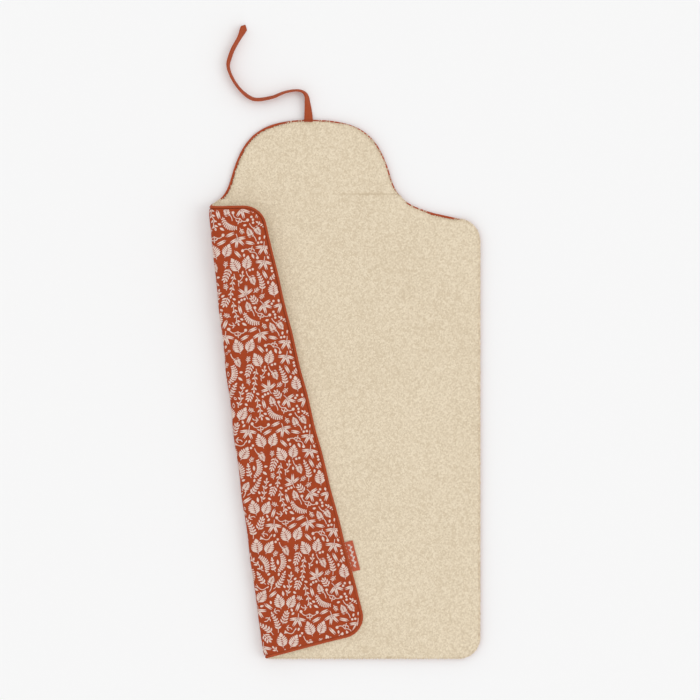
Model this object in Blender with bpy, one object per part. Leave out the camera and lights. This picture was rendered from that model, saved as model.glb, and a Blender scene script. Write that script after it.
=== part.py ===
# Padded travel changing mat with a rounded head tab, built as it lies: one side panel folded over.
# Metres, +Z up. X runs across the mat, Y towards the head tab, and the mat rests on Z = 0.
# Every layer is drawn open and flat, cut where the mat bends, and the cut pieces are then turned
# to where they lie. The folded side has two creases, one above the other, with a narrow strip of
# the mat standing between them. Both creases are hinges, so the panel opens flat again.

import math

import bmesh
import bpy
import numpy as np
from mathutils import Matrix, Vector

# Outline of the open mat.
BODY_RIGHT = 0.2365
BODY_LEFT = 0.2282
BODY_LENGTH = 0.6090
TAB_HEIGHT = 0.1445
LEFT_SHOULDER_RISE = 0.0040
BOTTOM_CORNER_RADIUS = 0.030
SHOULDER_CORNER_RADIUS = 0.032
SHOULDER_FALL = math.radians(12.0)
NECK_HALF_WIDTH = 0.1110
NECK_BELOW_TAB_TOP = 0.0785
NECK_LEAN = math.radians(74)
TAB_TOP_FULLNESS = 0.072
TAB_SIDE_FULLNESS = 0.058
NECK_FULLNESS = 0.032
SHOULDER_FULLNESS = 0.053
SHOULDER_RUN = 0.0510
ARC_STEPS = 6
CURVE_STEPS = 8

# Layers, from the floor up, and the seam that closes them.
BACKING_THICKNESS = 0.0005
WADDING_THICKNESS = 0.0040
TERRY_THICKNESS = 0.0029
GAP = 0.0003
PIPING_RADIUS = 0.0020
PIPING_CLOTH = 0.0004
FLANGE_REACH = 0.0066
FLANGE_THICKNESS = 0.0006
PINCH_WIDTH = 0.0115
PINCHED_TERRY = 0.0014
PIPING_SIDES = 9

# Where the mat bends.
PANEL_WIDTH = 0.1211
FOLD_SLANT = math.radians(6.95)
FOLD_RISE = 0.0210
MAT_CLEARANCE = 0.0008
PANEL_CLEARANCE = 0.0014
TAB_FOLD_ABOVE_SHOULDER = 0.0395
TAB_FOLD_GAP = 0.0005

# Tie strap: width, thickness and its route from the tab's top edge, as X, Y and degrees of lean.
TIE_WIDTH = 0.0120
TIE_THICKNESS = 0.0016
TIE_STEP = 0.0055
TIE_ON_TAB = 0.0045
TIE_SETS_DOWN = 0.016
TIE_POINT = 0.0055
TIE_ROUTE = (
    (-0.0034, 0.0004, 0),
    (-0.0036, 0.0080, 18),
    (-0.0048, 0.0234, 48),
    (-0.0066, 0.0340, 64),
    (-0.0124, 0.0394, 70),
    (-0.0228, 0.0408, 73),
    (-0.0382, 0.0377, 74),
    (-0.0536, 0.0315, 74),
    (-0.0742, 0.0280, 73),
    (-0.0865, 0.0315, 74),
    (-0.0998, 0.0429, 74),
    (-0.1102, 0.0583, 73),
    (-0.1158, 0.0746, 72),
    (-0.1127, 0.0891, 69),
    (-0.1081, 0.1004, 66),
    (-0.1000, 0.1148, 64),
    (-0.0938, 0.1291, 62),
)
BARTACK_LENGTH = 0.0100
BARTACK_WIDTH = 0.0016
BARTACK_HEIGHT = 0.0006

# Side label, in the seam of the folded panel.
LABEL_LENGTH = 0.0425
LABEL_REACH = 0.0115
LABEL_THICKNESS = 0.0006
LABEL_ABOVE_BOTTOM = 0.1080

# Worked out from the sizes above.
THICKNESS = BACKING_THICKNESS + WADDING_THICKNESS + TERRY_THICKNESS + 2 * GAP
MIDDLE = THICKNESS / 2
TOP_Y = (BODY_LENGTH + TAB_HEIGHT) / 2
BOTTOM_Y = -TOP_Y
SHOULDER_Y = BOTTOM_Y + BODY_LENGTH
TAB_FOLD_Y = SHOULDER_Y + TAB_FOLD_ABOVE_SHOULDER
SEAM_INSET = 2 * PIPING_RADIUS + GAP
FULL_INSET = SEAM_INSET + PINCH_WIDTH
WADDING_INSET = PIPING_RADIUS + FLANGE_REACH + GAP
TERRY_LOW = THICKNESS - TERRY_THICKNESS
SEAM_HALF = FLANGE_THICKNESS / 2 + GAP
TIE_UNDERSIDE = MIDDLE + PIPING_RADIUS + GAP
LABEL_LEVEL = MIDDLE + PIPING_RADIUS + GAP

ALONG = Vector((-math.sin(FOLD_SLANT), math.cos(FOLD_SLANT), 0))
ACROSS = Vector((-math.cos(FOLD_SLANT), -math.sin(FOLD_SLANT), 0))
FOLD_POINT = Vector((PANEL_WIDTH - BODY_LEFT, 0, 0))

WHITE = (0.86, 0.85, 0.82)
BEIGE = (0.75, 0.64, 0.48)
RUST = (0.40, 0.065, 0.022)
PALE_RUST = (0.55, 0.13, 0.07)


def material(name, colour, roughness):
    made = bpy.data.materials.new(name)
    made.use_nodes = True
    made.diffuse_color = (*colour, 1)
    shader = made.node_tree.nodes["Principled BSDF"]
    shader.inputs["Base Color"].default_value = (*colour, 1)
    shader.inputs["Roughness"].default_value = roughness
    shader.inputs["Metallic"].default_value = 0
    return made


def bezier(start, leave, arrive, end):
    """Points of a cubic curve, without its last one."""
    t = np.linspace(0, 1, CURVE_STEPS, endpoint=False)[:, None]
    s = 1 - t
    curve = s**3 * start + 3 * s * s * t * leave + 3 * s * t * t * arrive + t**3 * end
    return list(curve)


def rounded(before, corner, after, radius):
    """Points of the arc that rounds a corner between two straight edges."""
    back = (before - corner) / np.linalg.norm(before - corner)
    on = (after - corner) / np.linalg.norm(after - corner)
    half_angle = math.acos(float(back @ on)) / 2
    centre = corner + (back + on) / np.linalg.norm(back + on) * radius / math.sin(half_angle)
    first = corner + back * radius / math.tan(half_angle) - centre
    last = corner + on * radius / math.tan(half_angle) - centre
    turn = math.pi - 2 * half_angle
    t = np.linspace(0, 1, ARC_STEPS)[:, None]
    return list(centre + (np.sin((1 - t) * turn) * first + np.sin(t * turn) * last) / math.sin(turn))


def half_outline(half_width, shoulder_y):
    """The outline's right half, from the tab's top to the middle of the bottom edge."""
    top = np.array((0.0, TOP_Y))
    neck = np.array((NECK_HALF_WIDTH, TOP_Y - NECK_BELOW_TAB_TOP))
    down = np.array((math.cos(NECK_LEAN), -math.sin(NECK_LEAN)))
    slope = np.array((math.cos(SHOULDER_FALL), -math.sin(SHOULDER_FALL)))
    corner = np.array((half_width, shoulder_y))
    shoulder = corner - slope * SHOULDER_RUN / slope[0]
    bottom = np.array((half_width, BOTTOM_Y))
    points = bezier(top, top + (TAB_TOP_FULLNESS, 0), neck - down * TAB_SIDE_FULLNESS, neck)
    points += bezier(neck, neck + down * NECK_FULLNESS, shoulder - slope * SHOULDER_FULLNESS, shoulder)
    points += [shoulder]
    points += rounded(shoulder, corner, bottom, SHOULDER_CORNER_RADIUS)
    points += rounded(corner, bottom, np.array((0.0, BOTTOM_Y)), BOTTOM_CORNER_RADIUS)
    return np.array(points)


def outline():
    """The closed outline of the open mat, running clockwise from the tab's top."""
    right = half_outline(BODY_RIGHT, SHOULDER_Y)
    left = half_outline(BODY_LEFT, SHOULDER_Y + LEFT_SHOULDER_RISE)
    return np.concatenate([right, left[1:][::-1] * (-1, 1)])


def outward(points, closed=True):
    """Mitred normals of a clockwise path, pointing out of the mat."""
    if closed:
        before = points - np.roll(points, 1, axis=0)
        after = np.roll(points, -1, axis=0) - points
    else:
        steps = np.diff(points, axis=0)
        before = np.concatenate([steps[:1], steps])
        after = np.concatenate([steps, steps[-1:]])
    sides = []
    for step in (before, after):
        step = step / np.linalg.norm(step, axis=1)[:, None]
        sides.append(np.stack([-step[:, 1], step[:, 0]], axis=1))
    total = sides[0] + sides[1]
    return total / np.einsum("ij,ij->i", total, sides[0])[:, None]


def inset(points, distance):
    return points - outward(points) * distance


def across_fold(point):
    """How far a flat point lies beyond the first crease."""
    return (Vector((point[0], point[1], 0)) - FOLD_POINT).dot(ACROSS)


EDGE = outline()
REACH = max(across_fold(point) for point in EDGE) - FOLD_RISE


def panel_tilt():
    """How far the panel leans past level, so that its far corner is one gap above the mat."""
    corner = math.hypot(REACH, MIDDLE)
    return math.asin((FOLD_RISE - MIDDLE - GAP) / corner) - math.atan2(MIDDLE, REACH)


TILT = panel_tilt()
MAT_END = MIDDLE + MAT_CLEARANCE
PANEL_START = MIDDLE + PANEL_CLEARANCE
ROLL_OVERHANG = math.sqrt((MAT_END - GAP) ** 2 - MIDDLE**2)


def turned(angle, axis, point):
    return Matrix.Translation(point) @ Matrix.Rotation(angle, 4, axis) @ Matrix.Translation(-point)


HINGE_LOW = FOLD_POINT + Vector((0, 0, MIDDLE))
HINGE_FLAT = HINGE_LOW + ACROSS * FOLD_RISE
HINGE_HIGH = HINGE_LOW + Vector((0, 0, FOLD_RISE))
TO_ROLL = turned(math.pi / 2, ALONG, HINGE_LOW)
TO_PANEL = TO_ROLL @ turned(math.pi / 2 + TILT, ALONG, HINGE_FLAT)
TAB_HINGE = Vector((0, TAB_FOLD_Y, THICKNESS))
FLAT = Matrix.Identity(4)


class Place:
    """A body of the mat: its turn from flat to rest, its joint's point and what it keeps of a layer."""

    def __init__(self, name, rest, origin, cuts):
        self.name = name
        self.rest = rest
        self.origin = origin
        self.cuts = cuts

    def keeps(self, point):
        flat = Vector((point[0], point[1], 0))
        return min((at - flat).dot(normal) for at, normal in self.cuts)


def fold_at(distance):
    return FOLD_POINT + ACROSS * distance


TAB_SIDE = Vector((0, TAB_FOLD_Y + TAB_FOLD_GAP, 0))
MAT_SIDE = Vector((0, TAB_FOLD_Y - TAB_FOLD_GAP, 0))
UP_Y = Vector((0, 1, 0))
MAT = Place("mat", FLAT, Vector((0, 0, 0)), [(fold_at(-MAT_END), ACROSS), (MAT_SIDE, UP_Y)])
TAB = Place("tab", FLAT, TAB_HINGE, [(TAB_SIDE, -UP_Y)])
ROLL = Place(
    "roll",
    TO_ROLL,
    HINGE_LOW,
    [(fold_at(-ROLL_OVERHANG), -ACROSS), (fold_at(FOLD_RISE + ROLL_OVERHANG), ACROSS)],
)
PANEL = Place("panel", TO_PANEL, HINGE_HIGH, [(fold_at(FOLD_RISE + PANEL_START), -ACROSS)])
TIE = Place("tie", FLAT, Vector((TIE_ROUTE[0][0], TOP_Y, TIE_UNDERSIDE + TIE_THICKNESS)), [])
LABEL_SEAM = Vector((-BODY_LEFT, BOTTOM_Y + LABEL_ABOVE_BOTTOM, LABEL_LEVEL))
LABEL = Place("label", TO_PANEL, TO_PANEL @ LABEL_SEAM, [])


def add_object(name, mesh, place, colour, origin=None):
    """Turns flat geometry to rest and gives it an object whose origin is on its joint's axis."""
    origin = place.origin if origin is None else origin
    bmesh.ops.transform(mesh, matrix=Matrix.Translation(-origin) @ place.rest, verts=mesh.verts)
    bmesh.ops.recalc_face_normals(mesh, faces=mesh.faces)
    data = bpy.data.meshes.new(name)
    mesh.to_mesh(data)
    mesh.free()
    data.materials.append(colour)
    made = bpy.data.objects.new(name, data)
    made.location = origin
    bpy.context.collection.objects.link(made)
    return made


def loft(loops, cap=True):
    """A bmesh through loops of points, each joined to the next one, with both ends filled."""
    mesh = bmesh.new()
    rings = [[mesh.verts.new(point) for point in loop] for loop in loops]
    for low, high in zip(rings, rings[1:]):
        for i in range(len(low)):
            j = (i + 1) % len(low)
            mesh.faces.new((low[i], low[j], high[j], high[i]))
    if cap:
        mesh.faces.new(rings[0])
        mesh.faces.new(rings[-1])
    return mesh


def at_height(points, height):
    return [(x, y, height) for x, y in points]


def cut_to(mesh, place):
    """Cuts away what the place doesn't keep and closes each cut."""
    for at, normal in place.cuts:
        found = bmesh.ops.bisect_plane(
            mesh,
            geom=mesh.verts[:] + mesh.edges[:] + mesh.faces[:],
            plane_co=at,
            plane_no=normal,
            clear_outer=True,
        )
        cut = [item for item in found["geom_cut"] if isinstance(item, bmesh.types.BMEdge)]
        bmesh.ops.edgeloop_fill(mesh, edges=cut)


def layer(name, stations, colour, place):
    """One layer's piece: stations are (inset from the outline, underside, top), outermost first."""
    under = [at_height(inset(EDGE, distance), low) for distance, low, _ in stations[::-1]]
    over = [at_height(inset(EDGE, distance), high) for distance, _, high in stations]
    mesh = loft(under + over)
    cut_to(mesh, place)
    return add_object(f"{name}_{place.name}", mesh, place, colour)


def pinch(distance, at_seam, inside):
    """Height of a surface that runs straight from the seam to its full level."""
    share = min(1, (distance - SEAM_INSET) / PINCH_WIDTH)
    return at_seam + (inside - at_seam) * share


def backing(place, colour):
    low = MIDDLE - SEAM_HALF - BACKING_THICKNESS
    stations = [(SEAM_INSET, low, low + BACKING_THICKNESS), (FULL_INSET, 0, BACKING_THICKNESS)]
    return layer("backing", stations, colour, place)


def terry(place, colour):
    low = MIDDLE + SEAM_HALF
    stations = [(SEAM_INSET, low, low + PINCHED_TERRY), (FULL_INSET, TERRY_LOW, THICKNESS)]
    return layer("terry", stations, colour, place)


def wadding(place, colour):
    low = pinch(WADDING_INSET, MIDDLE - SEAM_HALF, BACKING_THICKNESS) + GAP
    high = pinch(WADDING_INSET, MIDDLE + SEAM_HALF, TERRY_LOW) - GAP
    inside = (FULL_INSET, BACKING_THICKNESS + GAP, TERRY_LOW - GAP)
    return layer("wadding", [(WADDING_INSET, low, high), inside], colour, place)


def runs(path, place):
    """The stretches of a closed path that a place keeps, cut exactly where it stops keeping it."""
    kept = [place.keeps(point) for point in path]
    first = next((i for i in range(len(path)) if kept[i - 1] < 0 <= kept[i]), 0)
    found = []
    for step in range(len(path) + 1):
        i = (first + step) % len(path)
        here, back = kept[i], kept[i - 1]
        if step and back >= 0 > here:
            found[-1].append(path[i - 1] + (path[i] - path[i - 1]) * back / (back - here))
        if back < 0 <= here and step < len(path):
            found.append([path[i - 1] + (path[i] - path[i - 1]) * back / (back - here)])
        if here >= 0 and step < len(path):
            found[-1].append(path[i])
        elif back < 0 and here < 0:
            found += crossed(path[i - 1], path[i], place)
    return [spaced(np.array(run)) for run in found]


def crossed(start, end, place):
    """The stretch that a place keeps of an edge whose ends both lie outside it, as a list of runs."""
    low, high = 0.0, 1.0
    for at, normal in place.cuts:
        before = (at - Vector((*start, 0))).dot(normal)
        after = (at - Vector((*end, 0))).dot(normal)
        if before < 0 and after < 0:
            return []
        if before < 0:
            low = max(low, before / (before - after))
        if after < 0:
            high = min(high, before / (before - after))
    return [[start + (end - start) * low, start + (end - start) * high]] if low < high else []


def spaced(run):
    """The run without points that crowd the one before, keeping both ends."""
    kept = [run[0]]
    for point in run[1:-1]:
        if min(np.linalg.norm(point - kept[-1]), np.linalg.norm(point - run[-1])) > PIPING_RADIUS / 2:
            kept.append(point)
    return np.array(kept + [run[-1]])


def around(run, profile):
    """Loops of a profile of (out, up) offsets carried along a run of the seam."""
    normals = outward(run, closed=False)
    return [
        [(*(point + normal * out), MIDDLE + up) for out, up in profile]
        for point, normal in zip(run, normals)
    ]


def circle(radius, sides, spread):
    """Points over an arc that is open towards the mat, from its top round the outside."""
    angles = np.linspace(spread, -spread, sides)
    return [(radius * math.cos(angle), radius * math.sin(angle)) for angle in angles]


def piping_cover(name, run, place, colour):
    """The bias strip: a sleeve round the cord, and a flat flange that goes into the seam."""
    half = FLANGE_THICKNESS / 2
    neck = PIPING_RADIUS + PIPING_CLOTH / 2
    flange = [(-neck, -half), (-FLANGE_REACH, -half), (-FLANGE_REACH, half), (-neck, half)]
    outside = circle(PIPING_RADIUS, PIPING_SIDES, math.radians(140)) + flange
    inner_radius = PIPING_RADIUS - PIPING_CLOTH
    corners = [math.radians(angle) for angle in (-160, -176, 176, 160)]
    inside = circle(inner_radius, PIPING_SIDES, math.radians(140))
    inside += [(inner_radius * math.cos(angle), inner_radius * math.sin(angle)) for angle in corners]
    outer = around(run, outside)
    inner = around(run, inside)
    mesh = loft(outer + inner[::-1], cap=False)
    mesh.verts.ensure_lookup_table()
    count = len(outside)
    last = len(mesh.verts) - count
    for i in range(count):
        j = (i + 1) % count
        mesh.faces.new([mesh.verts[k] for k in (last + i, last + j, j, i)])
    return add_object(name, mesh, place, colour)


def piping_cord(name, run, place, colour):
    radius = PIPING_RADIUS - PIPING_CLOTH - GAP
    angles = np.linspace(0, 2 * math.pi, PIPING_SIDES, endpoint=False)
    profile = [(radius * math.cos(angle), radius * math.sin(angle)) for angle in angles]
    return add_object(name, loft(around(run, profile)), place, colour)


def piping(place, names, cloth, filler):
    """The seam's piping on one place. Runs are named from the lowest one up."""
    path = inset(EDGE, PIPING_RADIUS)
    found = sorted(runs(path, place), key=lambda run: run[:, 1].mean())
    for name, run in zip(names, found, strict=True):
        piping_cover(f"piping_{name}", run, place, cloth)
        piping_cord(f"cord_{name}", run, place, filler)


def smooth_route(points, step):
    """Even steps along a smooth curve through the points (Catmull-Rom), with every column."""
    padded = np.concatenate([2 * points[:1] - points[1:2], points, 2 * points[-1:] - points[-2:-1]])
    fine = []
    for a, b, c, d in zip(padded, padded[1:], padded[2:], padded[3:]):
        t = np.linspace(0, 1, 20, endpoint=False)[:, None]
        fine.append(0.5 * (2 * b + (c - a) * t + (2 * a - 5 * b + 4 * c - d) * t**2
                           + (3 * b - a - 3 * c + d) * t**3))
    fine = np.concatenate(fine + [points[-1:]])
    along = np.concatenate([[0], np.cumsum(np.linalg.norm(np.diff(fine[:, :2], axis=0), axis=1))])
    at = np.linspace(0, along[-1], round(along[-1] / step) + 1)
    return np.stack([np.interp(at, along, column) for column in fine.T], axis=1)


def tie_strap(colour):
    """The flat strap: sewn on the tab's edge, then lying on the floor with one edge lifted."""
    route = smooth_route(np.array(TIE_ROUTE), TIE_STEP)
    xy = route[:, :2] + (0, TOP_Y)
    lean = np.radians(route[:, 2])
    steps = np.gradient(xy, axis=0)
    steps /= np.linalg.norm(steps, axis=1)[:, None]
    half_width, half_thickness = TIE_WIDTH / 2, TIE_THICKNESS / 2
    on_floor = half_width * np.sin(lean) + half_thickness * np.cos(lean) + GAP
    on_seam = TIE_UNDERSIDE + half_thickness
    down = np.clip((route[:, 1] - TIE_ROUTE[0][1]) / TIE_SETS_DOWN, 0, 1)
    down = down * down * (3 - 2 * down)
    height = on_seam + (on_floor - on_seam) * down
    bevel = half_thickness / 2
    profile = [
        (-half_width, -bevel), (-half_width + bevel, -half_thickness),
        (half_width - bevel, -half_thickness), (half_width, -bevel),
        (half_width, bevel), (half_width - bevel, half_thickness),
        (-half_width + bevel, half_thickness), (-half_width, bevel),
    ]
    loops = []
    for i, (point, (sine, cosine)) in enumerate(zip(xy, zip(np.sin(lean), np.cos(lean)))):
        ahead = Vector((*steps[i], 0))
        side = Vector((-steps[i][1], steps[i][0], 0))
        width_way = side * cosine + Vector((0, 0, sine))
        thick_way = ahead.cross(width_way)
        mitre = TIE_POINT / TIE_WIDTH if i == len(xy) - 1 else 0
        centre = Vector((*point, height[i]))
        loops.append([
            centre + width_way * out + thick_way * up + ahead * mitre * (half_width - out)
            for out, up in profile
        ])
    return add_object("tie_strap", loft(loops), TIE, colour)


def box(low, high):
    mesh = bmesh.new()
    bmesh.ops.create_cube(mesh, size=1)
    size = Vector(high) - Vector(low)
    middle = (Vector(low) + Vector(high)) / 2
    bmesh.ops.transform(
        mesh, matrix=Matrix.Translation(middle) @ Matrix.Diagonal((*size, 1)), verts=mesh.verts
    )
    return mesh


def tie_root(colour):
    """The strap's sewn end, flat on the seam up to the line where the strap lifts."""
    x = TIE_ROUTE[0][0]
    low = (x - TIE_WIDTH / 2, TOP_Y - TIE_ON_TAB, TIE_UNDERSIDE)
    high = (x + TIE_WIDTH / 2, TOP_Y, TIE_UNDERSIDE + TIE_THICKNESS)
    return add_object("tie_root", box(low, high), TAB, colour)


def tie_bartack(colour):
    """The thread bar that holds the strap on the tab."""
    x = TIE_ROUTE[0][0]
    y = TOP_Y - TIE_ON_TAB + BARTACK_WIDTH
    z = TIE_UNDERSIDE + TIE_THICKNESS + GAP
    low = (x - BARTACK_LENGTH / 2, y, z)
    high = (x + BARTACK_LENGTH / 2, y + BARTACK_WIDTH, z + BARTACK_HEIGHT)
    return add_object("tie_bartack", box(low, high), TAB, colour)


def label_piece(name, inner, outer, place, colour):
    """A stretch of the folded woven label, from one distance outside the mat's edge to another."""
    low_y = BOTTOM_Y + LABEL_ABOVE_BOTTOM - LABEL_LENGTH / 2
    low = (-BODY_LEFT - outer, low_y, LABEL_LEVEL)
    high = (-BODY_LEFT - inner, low_y + LABEL_LENGTH, LABEL_LEVEL + LABEL_THICKNESS)
    return add_object(name, box(low, high), place, colour)


def main():
    for old in list(bpy.data.objects):
        bpy.data.objects.remove(old)
    beige = material("terry_cloth", BEIGE, 0.95)
    rust = material("printed_cotton", RUST, 0.85)
    piping_cloth = material("piping_cloth", RUST, 0.8)
    white = material("wadding_fibre", WHITE, 0.95)
    cord = material("filler_cord", WHITE, 0.9)
    strap = material("tie_cloth", RUST, 0.8)
    thread = material("sewing_thread", RUST, 0.6)
    woven = material("label_weave", PALE_RUST, 0.7)
    for place in (MAT, ROLL, PANEL, TAB):
        backing(place, rust)
        wadding(place, white)
        terry(place, beige)
    piping(MAT, ("mat", "neck"), piping_cloth, cord)
    piping(ROLL, ("roll_bottom", "roll_top"), piping_cloth, cord)
    piping(PANEL, ("panel",), piping_cloth, cord)
    piping(TAB, ("tab",), piping_cloth, cord)
    tie_root(strap)
    tie_strap(strap)
    tie_bartack(thread)
    label_piece("label_root", GAP - SEAM_INSET, 0, PANEL, woven)
    label_piece("side_label", GAP, LABEL_REACH, LABEL, woven)
    bpy.context.view_layer.update()


main()
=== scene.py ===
import math

import bpy
import numpy as np
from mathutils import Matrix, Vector


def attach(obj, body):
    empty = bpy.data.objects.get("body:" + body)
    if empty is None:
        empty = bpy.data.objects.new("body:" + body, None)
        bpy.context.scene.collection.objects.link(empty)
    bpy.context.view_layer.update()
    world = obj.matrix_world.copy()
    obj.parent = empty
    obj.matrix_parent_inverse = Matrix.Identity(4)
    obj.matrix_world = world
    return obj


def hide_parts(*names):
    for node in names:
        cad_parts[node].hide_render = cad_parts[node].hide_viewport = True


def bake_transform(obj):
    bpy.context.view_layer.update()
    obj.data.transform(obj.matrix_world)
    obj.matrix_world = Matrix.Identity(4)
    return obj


# Padded travel changing mat: terry on one side, printed cotton on the other, one side folded over.
# Every cloth piece is worked out lying open and flat, as (x, y, height), and then laid folded.
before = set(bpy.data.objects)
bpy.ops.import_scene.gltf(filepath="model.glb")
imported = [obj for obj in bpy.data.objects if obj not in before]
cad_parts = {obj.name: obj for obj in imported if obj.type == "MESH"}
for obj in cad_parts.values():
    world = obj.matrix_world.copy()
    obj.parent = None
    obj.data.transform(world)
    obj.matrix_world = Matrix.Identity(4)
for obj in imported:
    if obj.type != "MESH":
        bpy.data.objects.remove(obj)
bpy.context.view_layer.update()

scene = bpy.context.scene
scene.view_settings.view_transform = "Standard"

mat = {
    "bodyRight": 0.2365,
    "bodyLeft": 0.2282,
    "bodyLength": 0.6090,
    "tabHeight": 0.1445,
    "leftShoulderRise": 0.0040,
    "bottomCorner": 0.030,
    "shoulderCorner": 0.032,
    "shoulderFall": 12.0,
    "shoulderRun": 0.0510,
    "shoulderFullness": 0.053,
    "neckHalfWidth": 0.1110,
    "neckBelowTop": 0.0785,
    "neckLean": 74.0,
    "neckFullness": 0.032,
    "tabTopFullness": 0.072,
    "tabSideFullness": 0.058,
    "thickness": 0.0080,
    "tabCut": 0.2655,  # the body's pieces end here and the head tab's begin
    "tabCrease": 0.2725,
    "tabBlendEnd": 0.2785,
    "tieX": -0.0034,
    "outlineStep": 0.003,
    "curveSteps": 36,
}
middle = mat["thickness"] / 2
topY = (mat["bodyLength"] + mat["tabHeight"]) / 2
bottomY = -topY
shoulderY = bottomY + mat["bodyLength"]
tabCut = mat["tabCut"]

fold = {
    "fromLeftEdge": 0.1211,
    "slant": 6.95,
    "rise": 0.0210,  # height of the strip between the two creases
    "bendRadius": 0.0050,  # at half the mat's thickness
    "bendReach": 0.0095,  # flat cloth used on each side of a crease
    "topY": 0.262,
    "bow": 0.0036,  # how far the fold's middle lies to the left of a straight line
    "bowRun": 0.028,
    "wave": 0.0007,  # small waves along the bow
    "settleLow": 0.42,  # how much the soft fold is flatter at its lower end
    "liftTop": 0.0045,  # how much higher the fold stands at its upper end
    "drape": 0.62,  # how far the free edge hangs towards the mat
    "gapAtCorner": 0.0003,
}
slant = math.radians(fold["slant"])
foldX = fold["fromLeftEdge"] - mat["bodyLeft"]
acrossFold = np.array((-math.cos(slant), -math.sin(slant)))
alongFold = np.array((-math.sin(slant), math.cos(slant)))
cutAt = fold["rise"] / 2


def smooth(low, high, value):
    # 3t^2 - 2t^3 between two limits
    t = np.clip((value - low) / (high - low), 0, 1)
    return t * t * (3 - 2 * t)


def unit(vector):
    return vector / np.linalg.norm(vector, axis=-1, keepdims=True)


def goneAlong(points):
    # how far along a path each of its points is
    return np.concatenate([[0], np.cumsum(np.linalg.norm(np.diff(points, axis=0), axis=1))])


def readAt(points, at, gone):
    # each column of a path's points at other distances along it
    return np.stack([np.interp(at, gone, column) for column in points.T], axis=1)


def turnBy(degrees):
    # a matrix that turns rows of points anticlockwise
    c, s = math.cos(math.radians(degrees)), math.sin(math.radians(degrees))
    return np.array(((c, s), (-s, c)))


def bezier(a, b, c, d):
    # (1-t)^3 a + 3(1-t)^2 t b + 3(1-t) t^2 c + t^3 d, without its end
    t = np.linspace(0, 1, mat["curveSteps"], endpoint=False)[:, None]
    return (1 - t) ** 3 * a + 3 * (1 - t) ** 2 * t * b + 3 * (1 - t) * t**2 * c + t**3 * d


def cornerArc(before, corner, after, radius):
    # an arc that touches both edges: its centre is radius / sin(half the angle) along the bisector
    back, on = unit(before - corner), unit(after - corner)
    half = math.acos(float(back @ on)) / 2
    centre = corner + unit(back + on) * radius / math.sin(half)
    first = corner + back * radius / math.tan(half) - centre
    last = corner + on * radius / math.tan(half) - centre
    turn = math.pi - 2 * half
    t = np.linspace(0, 1, 14)[:, None]
    return centre + (np.sin((1 - t) * turn) * first + np.sin(t * turn) * last) / math.sin(turn)


def halfOutline(halfWidth, cornerY):
    # one half, from the middle of the tab's top to the end of the bottom corner
    top = np.array((0.0, topY))
    neck = np.array((mat["neckHalfWidth"], topY - mat["neckBelowTop"]))
    down, slope = (turnBy(mat[key])[:, 0] for key in ("neckLean", "shoulderFall"))
    corner = np.array((halfWidth, cornerY))
    shoulder = corner - slope * mat["shoulderRun"] / slope[0]
    bottom = np.array((halfWidth, bottomY))
    arrive = shoulder - slope * mat["shoulderFullness"]
    points = np.concatenate([
        bezier(top, top + (mat["tabTopFullness"], 0), neck - down * mat["tabSideFullness"], neck),
        bezier(neck, neck + down * mat["neckFullness"], arrive, shoulder),
        shoulder[None],
        cornerArc(shoulder, corner, bottom, mat["shoulderCorner"]),
        cornerArc(corner, bottom, np.array((0.0, bottomY)), mat["bottomCorner"]),
    ])
    return evenly(points)


def evenly(points):
    # the same path with points one step apart
    gone = goneAlong(points)
    count = max(2, round(gone[-1] / mat["outlineStep"]) + 1)
    return readAt(points, np.linspace(0, gone[-1], count), gone)


rightHalf = halfOutline(mat["bodyRight"], shoulderY)
leftHalf = halfOutline(mat["bodyLeft"], shoulderY + mat["leftShoulderRise"]) * (-1, 1)
bottomEdge = evenly(np.stack([rightHalf[-1], leftHalf[-1]]))[1:-1]
outline = np.concatenate([rightHalf, bottomEdge, leftHalf[:0:-1]])  # clockwise from the tab's top
edgeStep = np.roll(outline, -1, axis=0) - outline
edgeLength = np.linalg.norm(edgeStep, axis=1)
edgeGone = np.concatenate([[0], np.cumsum(edgeLength)])
perimeter = edgeGone[-1]


def outwardNormals(ahead):
    # a quarter turn to the left of a clockwise path
    ahead = unit(ahead)
    return np.stack([-ahead[:, 1], ahead[:, 0]], axis=1)


edgeNormal = outwardNormals(np.roll(outline, -1, axis=0) - np.roll(outline, 1, axis=0))


def nearEdge(xy):
    # distance in from the closest stretch of the outline, and how far round the outline that is:
    # the nearest of a few spread points is found first, and then the nearest edge around it
    spread, batch = 8, 20000
    away, place = np.empty(len(xy)), np.empty(len(xy))
    for low in range(0, len(xy), batch):
        part = xy[low:low + batch]
        far = ((part[:, None] - outline[::spread]) ** 2).sum(2)
        close = far.argmin(1)[:, None] * spread + np.arange(-spread - 1, spread + 2)
        close = close % len(outline)
        off = part[:, None] - outline[close]
        t = np.clip((off * edgeStep[close]).sum(2) / edgeLength[close] ** 2, 0, 1)
        off = off - t[..., None] * edgeStep[close]
        gap = (off**2).sum(2)
        best = np.arange(len(part)), gap.argmin(1)
        edge = close[best]
        side = (off[best] * edgeNormal[edge]).sum(1)
        away[low:low + batch] = np.sqrt(gap[best]) * np.where(side > 1e-9, -1, 1)
        place[low:low + batch] = edgeGone[edge] + t[best] * edgeLength[edge]
    return away, place


def ripple(x, y, seed, shortest, longest):
    # mean of seven sine waves that run in random directions
    draw = np.random.default_rng(seed)
    total = np.zeros(np.broadcast(x, y).shape)
    for _ in range(7):
        angle, phase = draw.uniform(0, 2 * math.pi, 2)
        pace = 2 * math.pi / draw.uniform(shortest, longest)
        total += np.sin((x * math.cos(angle) + y * math.sin(angle)) * pace + phase)
    return total / 7


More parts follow.
